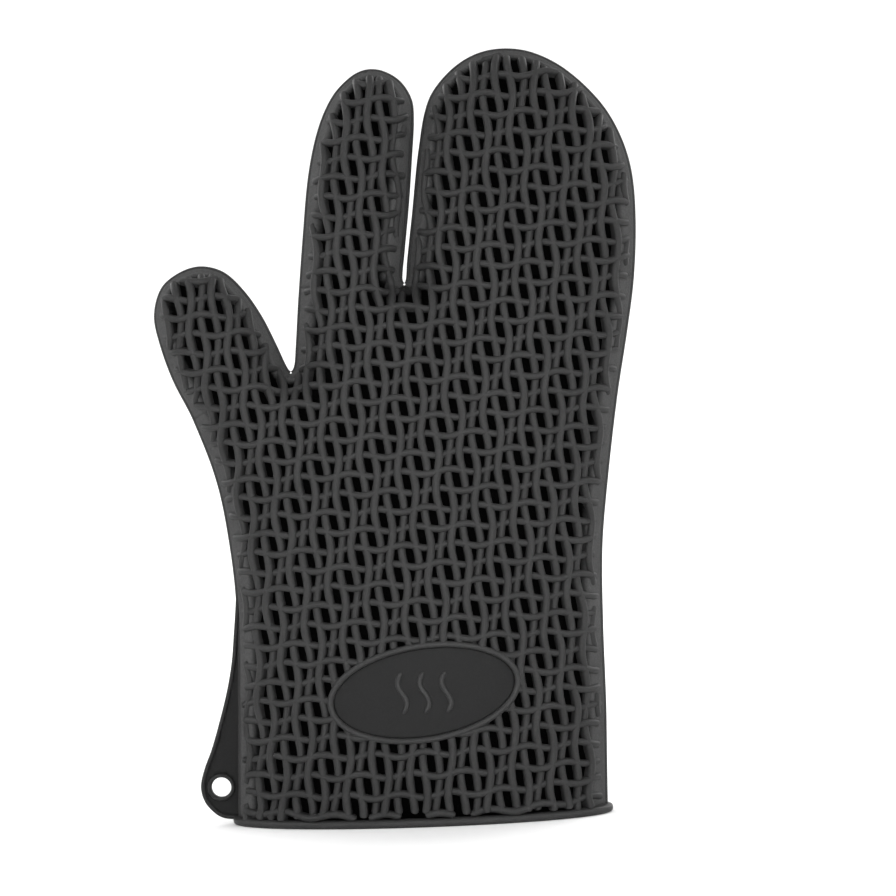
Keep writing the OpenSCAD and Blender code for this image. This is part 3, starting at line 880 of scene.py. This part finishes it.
FLANGE_STEP = 0.7
FLANGE_SECTION = (
    (-2.0, -1.1), (-0.9, -0.95), (-0.25, -0.8), (0, -0.4), (0, 0.4), (-0.25, 0.8), (-0.9, 0.95), (-2.0, 1.1))


def flange_part(run):
    """A thin rounded flange along a run of the silhouette."""
    length = np.linalg.norm(np.diff(run, axis=0), axis=1).sum()
    line = along(run, np.linspace(0, 1, int(length / FLANGE_STEP) + 2))
    ahead = unit(np.gradient(line, axis=0))
    centres = np.stack([line[:, 0], 0 * line[:, 0], line[:, 1]], axis=1)
    outwards = np.stack([-ahead[:, 1], 0 * line[:, 0], ahead[:, 0]], axis=1)
    forward = np.tile([0.0, 1.0, 0.0], (len(line), 1))
    points, faces = sweep(centres, outwards, forward, FLANGE_SECTION)
    points[:, 2] = np.maximum(points[:, 2], 0)  # its foot is cut level, where the mitt stands
    return points, faces


def add_parts(name, parts, material):
    """One piece from several parts, each (points, faces)."""
    points, faces, _ = joined([(part_points, part_faces, part_points) for part_points, part_faces in parts])
    return make_piece(name, points, faces, material)


def rounded_section(wide, high, power, count):
    """A closed section, from an oval towards a rectangle as the power goes up from 2."""
    a = 2 * math.pi * np.arange(count) / count
    c, s = np.cos(a), np.sin(a)
    return np.stack([
        wide / 2 * np.sign(c) * np.abs(c) ** (2 / power),
        high / 2 * np.sign(s) * np.abs(s) ** (2 / power)], axis=1)


BEAD_WIDE = 5.6
BEAD_HIGH = 3.0
BEAD_RINGS = 220
BEAD_SQUARE = 3.2  # power of its section, and points round it
BEAD_AROUND = 20


def cuff_bead():
    half_x = (cuff_high.x - cuff_low.x) / 2 / MM - BEAD_WIDE / 2
    half_y = (cuff_high.y - cuff_low.y) / 2 / MM - BEAD_WIDE / 2
    a = 2 * math.pi * np.arange(BEAD_RINGS) / BEAD_RINGS
    centres = np.stack([half_x * np.cos(a), half_y * np.sin(a), 0 * a + BEAD_HIGH / 2], axis=1)
    outwards = unit(np.stack([np.cos(a) / half_x, np.sin(a) / half_y, 0 * a], axis=1))
    ups = np.tile([0.0, 0.0, 1.0], (BEAD_RINGS, 1))
    section = rounded_section(BEAD_WIDE, BEAD_HIGH, BEAD_SQUARE, BEAD_AROUND)
    points, faces = sweep(centres, outwards, ups, section, closed=True)
    return make_piece("cuff_band", points, faces, "trim")


BEZEL_WIDE = 2.2
BEZEL_INSET = 0.6  # from the badge's oval to the middle of the bezel
BEZEL_LIFT = 0.8
BADGE_RINGS = 128
PLATE_INSET = 1.5
PLATE_LIFT = -0.7
PLATE_MIDDLE = 0.6  # half height of the flat at the middle of the plate
PLATE_RINGS = 18
BEZEL_ARC = np.radians(np.linspace(180, 0, 9))


def badge_points(inset, angles, lift):
    """Points over the badge's oval, drawn in from its rim and lifted off the woven face."""
    on_oval = (BADGE_HALF - inset) * np.stack([np.cos(angles), np.sin(angles)], axis=1)
    flat = BADGE_AT + on_oval @ BADGE_AXES
    deep, normal, _ = face_frame(flat)
    return np.stack([flat[:, 0], -deep, flat[:, 1]], axis=1) + lift * normal, normal


def badge_bezel():
    a = 2 * math.pi * np.arange(BADGE_RINGS) / BADGE_RINGS
    centres, normal = badge_points(BEZEL_INSET, a, 0)
    ahead = unit(np.roll(centres, -1, axis=0) - np.roll(centres, 1, axis=0))
    right = unit(np.cross(ahead, normal))
    half = BEZEL_WIDE / 2
    section = [(-half, -FLOOR_DROP - SINK)]
    section += [(half * math.cos(t), BEZEL_LIFT - half + half * math.sin(t)) for t in BEZEL_ARC]
    section += [(half, -FLOOR_DROP - SINK)]
    points, faces = sweep(centres, right, normal, section, closed=True)
    return make_piece("badge_frame", points, faces, "badge")


def badge_plate():
    a = 2 * math.pi * np.arange(BADGE_RINGS) / BADGE_RINGS
    innermost = min(BADGE_HALF) - PLATE_MIDDLE
    insets = np.linspace(innermost, PLATE_INSET, PLATE_RINGS)
    rings = [badge_points(inset, a, PLATE_LIFT)[0] for inset in insets]
    rings.append(badge_points(PLATE_INSET, a, -FLOOR_DROP - SINK)[0])
    rings.append(badge_points(innermost, a, -FLOOR_DROP - SINK)[0])
    points = np.vstack(rings)
    piece = make_piece("badge_face", points, tube_faces(len(rings), BADGE_RINGS, False), "plate")
    weld(piece)
    return piece


SIGN_HIGH = 15
SIGN_GAP = 8
SIGN_WAVE = 1.6
SIGN_WIDE = 1.9
SIGN_LIFT = 0.75
SIGN_SINK = 0.3
SIGN_STEPS = 48
SIGN_END = 0.02  # least square of its size at a line's very end


def badge_sign():
    """Three rising wavy lines, a plain sign for heat."""
    parts = []
    f = np.linspace(0, 1, SIGN_STEPS)
    for side in (-1, 0, 1):
        x = BADGE_AT[0] + SIGN_GAP * side + SIGN_WAVE * np.sin(2 * math.pi * f)
        z = BADGE_AT[1] + SIGN_HIGH * (f - 0.5)
        deep, normal, _ = face_frame(np.stack([x, z], axis=1))
        centres = np.stack([x, -deep, z], axis=1) + PLATE_LIFT * normal
        right = unit(np.cross(unit(np.gradient(centres, axis=0)), normal))
        ends = np.minimum(f, 1 - f) * SIGN_HIGH
        size = np.sqrt(np.clip(1 - (1 - ends / SIGN_WIDE) ** 2 * (ends < SIGN_WIDE), SIGN_END, 1))
        sections = [
            [(-SIGN_WIDE / 2 * k, -SIGN_SINK)]
            + [(SIGN_WIDE / 2 * k * math.cos(t), SIGN_LIFT * k * math.sin(t)) for t in HALF_ROUND]
            + [(SIGN_WIDE / 2 * k, -SIGN_SINK)] for k in size]
        points, faces = sweep(centres, right, normal, np.array(sections))
        parts.append((points, faces))
    return add_parts("badge_sign", parts, "badge")


TAB_EDGE = [
    (-66.6, 88), (-67.3, 79), (-68.1, 71), (-69.3, 60), (-71.4, 49.5), (-74.6, 38), (-77.8, 28),
    (-80.8, 20.5), (-82.3, 14), (-80.9, 8.4), (-77.4, 4.2), (-73.9, 2.2), (-69, 1.6)]
TAB_INSIDE = -66.2  # the web runs into the gauntlet's wall as far as this
WEB_THICK = 1.0
WEB_INSET = 0.6  # from the tab's edge in to the web's
WEB_SPACING = 2.0
CDT_REACH = 1e-5
TAB_STEP = 0.8
BORDER_WIDE = 1.7
BORDER_THICK = 2.9
BORDER_SQUARE = 2.6  # power of its section, and points round it
BORDER_AROUND = 12
RING_SQUARE = 2.8
RING_AROUND = 16
RING_STEPS = 72
HOLE_STEP = 6  # degrees between points of the hole in the web
eyelet_low, eyelet_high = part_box("tab_eyelet")
EYELET_AT = np.array([
    (eyelet_low.x + eyelet_high.x) / 2 / MM - CENTRE_X, (eyelet_low.z + eyelet_high.z) / 2 / MM])
EYELET_OUT = (eyelet_high.x - eyelet_low.x) / 2 / MM
EYELET_THICK = (eyelet_high.y - eyelet_low.y) / MM
EYELET_HOLE = frame["record"]["mounts"][0]["dims"]["r_mm"]


def plate(name, outline, hole, thick, material):
    """A flat plate in the mitt's middle plane, with a hole, cut into small triangles."""
    outline, hole = np.array(outline), np.array(hole)
    low, high = outline.min(axis=0), outline.max(axis=0)
    across, up = (np.arange(low[k], high[k], WEB_SPACING) for k in (0, 1))
    fill = [(x, z) for x in across for z in up]
    loops = [list(range(len(outline))), list(range(len(outline), len(outline) + len(hole)))]
    edges = [(loop[k], loop[(k + 1) % len(loop)]) for loop in loops for k in range(len(loop))]
    flat = [Vector(p) for p in [*outline.tolist(), *hole.tolist(), *fill]]
    points, _, faces, *_ = delaunay_2d_cdt(flat, edges, loops, 2, CDT_REACH)
    middles = np.array([[sum(points[i][k] for i in f) / len(f) for k in (0, 1)] for f in faces])
    centre = hole.mean(axis=0)
    radius = np.linalg.norm(hole[0] - centre)
    keep = [f for f, m in zip(faces, middles) if np.linalg.norm(m - centre) > radius]
    shape = bmesh.new()
    made = [shape.verts.new((p[0], -thick / 2, p[1])) for p in points]
    for f in keep:
        shape.faces.new([made[i] for i in f])
    loose = [v for v in shape.verts if not v.link_faces]
    bmesh.ops.delete(shape, geom=loose, context="VERTS")
    grown = bmesh.ops.extrude_face_region(shape, geom=shape.faces[:])
    moved = [g for g in grown["geom"] if isinstance(g, bmesh.types.BMVert)]
    bmesh.ops.translate(shape, vec=(0, thick, 0), verts=moved)
    bmesh.ops.recalc_face_normals(shape, faces=shape.faces)
    shape.verts.index_update()
    coordinates = [tuple(v.co) for v in shape.verts]
    corners = [tuple(v.index for v in f.verts) for f in shape.faces]
    shape.free()
    return make_piece(name, coordinates, corners, material)


def tab_pieces():
    edge = np.vstack(smooth_line(TAB_EDGE, TAB_STEP) + [[TAB_EDGE[-1]]])
    inner = edge - WEB_INSET * unit(np.stack([np.gradient(edge[:, 1]), -np.gradient(edge[:, 0])], axis=1))
    a = np.radians(np.arange(0, 360, HOLE_STEP))
    hole = EYELET_AT + (EYELET_HOLE + EYELET_OUT) / 2 * np.stack([np.cos(a), np.sin(a)], axis=1)
    outline = [*inner.tolist(), (TAB_INSIDE, inner[-1][1]), (TAB_INSIDE, inner[0][1])]
    web = plate("tab_sheet", outline, hole, WEB_THICK, "tab")

    ahead = unit(np.gradient(edge, axis=0))
    inwards = np.stack([-ahead[:, 1], ahead[:, 0]], axis=1)
    line = edge + inwards * BORDER_WIDE / 2
    centres = np.stack([line[:, 0], 0 * line[:, 0], line[:, 1]], axis=1)
    right = np.stack([inwards[:, 0], 0 * line[:, 0], inwards[:, 1]], axis=1)
    forward = np.tile([0.0, 1.0, 0.0], (len(line), 1))
    section = rounded_section(BORDER_WIDE, BORDER_THICK, BORDER_SQUARE, BORDER_AROUND)
    points, faces = sweep(centres, right, forward, section)
    border = make_piece("tab_rim", points, faces, "tab_trim")

    a = 2 * math.pi * np.arange(RING_STEPS) / RING_STEPS
    spokes = np.stack([np.cos(a), 0 * a, np.sin(a)], axis=1)
    middle = (EYELET_HOLE + EYELET_OUT) / 2
    centres = np.array([EYELET_AT[0], 0, EYELET_AT[1]]) + middle * spokes
    forward = np.tile([0.0, 1.0, 0.0], (RING_STEPS, 1))
    section = rounded_section(EYELET_OUT - EYELET_HOLE, EYELET_THICK, RING_SQUARE, RING_AROUND)
    points, faces = sweep(centres, spokes, forward, section, closed=True)
    ring = make_piece("tab_ring", points, faces, "tab_trim")
    return web, border, ring


# ---- Putting the palm's pieces on the palm, and hiding the CAD parts ----


def settle(piece, body, slot, *nodes):
    """Puts a piece on the palm if that is its body, else only bakes its placement into its points, and hides
    the CAD parts it stands for.
    """
    if body == "palm":
        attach(piece, "palm")
    else:
        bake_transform(piece)
    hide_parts(*nodes)


for name in PLANS:
    nodes = [name + "_front_skin", name + "_back_skin"]
    if name != "palm":
        nodes.append(name + "_flex_sleeve")
    settle(skin_piece(name), name, "skin", *nodes)

BODY_NAMES = ("palm", "thumb", "index", "mitten")
front_ribs, back_ribs = rib_parts(True), rib_parts(False)
for number, name in enumerate(BODY_NAMES):
    points, faces, normals = joined(front_ribs[number])
    ribs = make_piece(name + "_front_ribs", points, faces, "rib", normals)
    settle(ribs, name, "weave", name + "_front_weave")
    points, faces, normals = joined(back_ribs[number])
    faces = [face[::-1] for face in faces]
    mirrored = make_piece(name + "_back_ribs", points * MIRRORED, faces, "rib", normals * MIRRORED)
    settle(mirrored, name, "weave", name + "_back_weave")

flanges = {
    "palm": ("gauntlet_left", "knuckle", "gauntlet_right"),
    "thumb": ("thumb_outer", "thumb_inner"),
    "index": ("index_outer", "index_inner"),
    "mitten": ("mitten_inner", "mitten_outer"),
}
for name, runs in flanges.items():
    parts = [flange_part(RIM[run]) for run in runs]
    settle(add_parts(name + "_parting_line", parts, "trim"), name, "trim", name + "_seam")

settle(cuff_bead(), "palm", "trim", "cuff_bead")
settle(badge_bezel(), "palm", "badge", "badge_bezel")
settle(badge_plate(), "palm", "badge", "badge_plate")
settle(badge_sign(), "palm", "badge", "badge_emblem")
for piece, node in zip(tab_pieces(), ("tab_web", "tab_border", "tab_eyelet")):
    settle(piece, "hang_tab", "trim", node)


# ---- Floor, light and camera ----

BOWL_FLAT = 1.2  # how far out the backdrop is flat, in metres
BOWL_TURN = 1.0  # radius of its turn upwards
BOWL_HIGH = 0.8  # and how far it goes on up
BOWL_STEPS = 15
BOWL_AROUND = 96


def backdrop():
    """A pale bowl: flat where the mitt stands, and curving up all round, far away."""
    profile = [(0.0, 0.0), (BOWL_FLAT / 2, 0.0), (BOWL_FLAT, 0.0)]
    for t in np.radians(np.linspace(6, 90, BOWL_STEPS)):
        profile.append((BOWL_FLAT + BOWL_TURN * math.sin(t), BOWL_TURN * (1 - math.cos(t))))
    profile.append((BOWL_FLAT + BOWL_TURN, BOWL_TURN + BOWL_HIGH))
    count = BOWL_AROUND
    points = [(0, 0, 0)]
    for r, z in profile[1:]:
        points += [(r * math.cos(a), r * math.sin(a), z) for a in 2 * math.pi * np.arange(count) / count]
    faces = [(0, 1 + k, 1 + (k + 1) % count) for k in range(count)]
    for i in range(len(profile) - 2):
        a, b = 1 + i * count, 1 + (i + 1) * count
        faces += [(a + k, b + k, b + (k + 1) % count, a + (k + 1) % count) for k in range(count)]
    mesh = bpy.data.meshes.new("backdrop")
    mesh.from_pydata(points, [], faces)
    mesh.shade_smooth()
    bowl = bpy.data.objects.new("backdrop", mesh)
    scene.collection.objects.link(bowl)
    material, nodes, _ = new_material("pale_paper")
    shader = nodes["Principled BSDF"]
    shader.inputs["Base Color"].default_value = (0.9, 0.9, 0.9, 1)
    shader.inputs["Roughness"].default_value = 0.95
    shader.inputs["Specular IOR Level"].default_value = 0.1
    mesh.materials.append(material)


def place_light(data, place, way):
    """Puts a light at a place, shining a given way."""
    light = bpy.data.objects.new(data.name, data)
    scene.collection.objects.link(light)
    light.location = place
    light.rotation_mode = "QUATERNION"
    light.rotation_quaternion = Vector(way).to_track_quat("-Z", "Y")
    return light


AIM = Vector((0.0, 0.0, 0.14))
# Each soft light's place, width and height in metres, and power in watts.
SOFT_LIGHTS = {
    "key_left": ((-1.15, -0.95, 0.4), (0.9, 1.2), 9),
    "key_right": ((1.15, -0.95, 0.4), (0.9, 1.2), 9),
    "over_front": ((0.0, -1.3, 0.9), (1.4, 0.6), 1.5),
    "back_left": ((-1.1, 1.1, 0.9), (0.9, 1.0), 12),
    "back_right": ((1.1, 1.1, 0.9), (0.9, 1.0), 12),
}
# A narrow spot light with a faded edge, for the brighter palm.
GLOW_PLACE = (0.02, -1.3, 0.2)
GLOW_WAY = (-0.01, 1.3, -0.08)
GLOW_ANGLE = math.radians(11)
GLOW_SOFTNESS = 0.15
GLOW_POWER = 90

backdrop()
for name, (place, size, power) in SOFT_LIGHTS.items():
    panel = bpy.data.lights.new(name, "AREA")
    panel.shape = "RECTANGLE"
    panel.size, panel.size_y = size
    panel.energy = power
    place_light(panel, place, AIM - Vector(place)).visible_camera = False

glow = bpy.data.lights.new("on_palm", "SPOT")
glow.energy = GLOW_POWER
glow.spot_size = GLOW_ANGLE
glow.spot_blend = 1
glow.shadow_soft_size = GLOW_SOFTNESS
place_light(glow, GLOW_PLACE, GLOW_WAY)

world = bpy.data.worlds.new("studio")
scene.world = world
world.use_nodes = True
surroundings = world.node_tree.nodes["Background"]
surroundings.inputs["Color"].default_value = (1, 1, 1, 1)
surroundings.inputs["Strength"].default_value = 1.0

FIELD = 333.1  # width that the camera sees at the middle of the mitt
CAMERA_ROLL = math.radians(2.0)
SENSOR = 36
camera_data = bpy.data.cameras.new("camera")
camera_data.sensor_width = SENSOR
camera_data.lens = SENSOR * CAMERA_BACK / FIELD
camera_data.clip_end = 50
camera = bpy.data.objects.new("camera", camera_data)
scene.collection.objects.link(camera)
camera.location = Vector((CENTRE_X + CAMERA_OVER[0], -CAMERA_BACK, CAMERA_OVER[1])) * MM
camera.rotation_euler = (math.radians(90), CAMERA_ROLL, 0)
scene.camera = camera
scene.view_settings.view_transform = "Standard"
